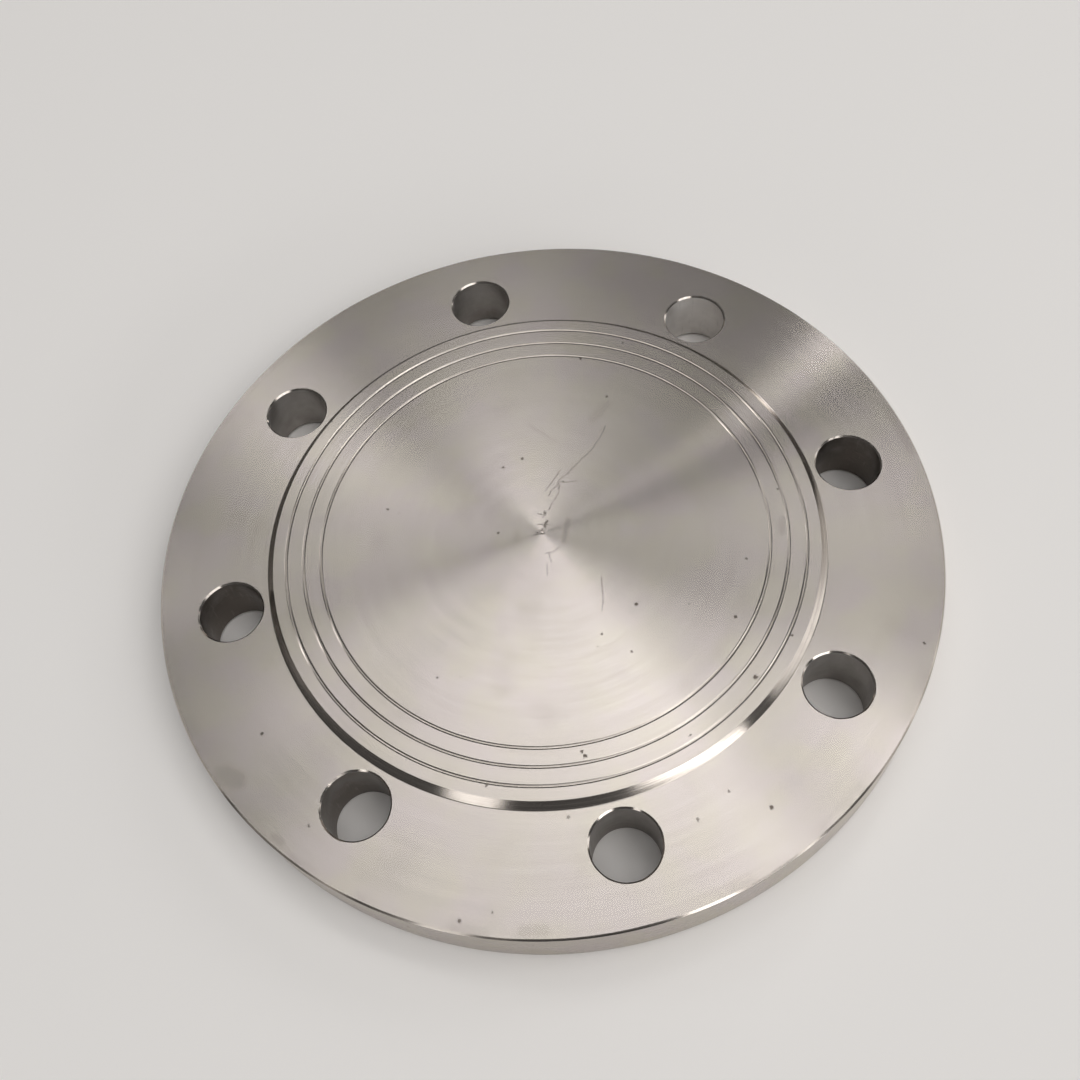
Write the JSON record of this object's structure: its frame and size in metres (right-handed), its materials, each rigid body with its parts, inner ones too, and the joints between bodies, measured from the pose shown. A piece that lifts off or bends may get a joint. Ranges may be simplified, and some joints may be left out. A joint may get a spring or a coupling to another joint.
{
  "type": "blind flange",
  "caption": "Flat round steel blind flange with a raised sealing face, concentric gasket grooves and a ring of plain bolt holes.",
  "frame": {"origin": "centre of the back face, on the disc's axis", "axes": "+Z along the disc's axis, from the back face towards the raised sealing face; the bolt holes straddle +X and +Y, the nearest ones 22.5 degrees from each"},
  "size_m": [0.22, 0.22, 0.02],
  "materials": {
    "turned_stainless": "satin"
  },
  "bodies": {
    "root": {"flange_disc": "turned_stainless"}
  },
  "joints": []
}
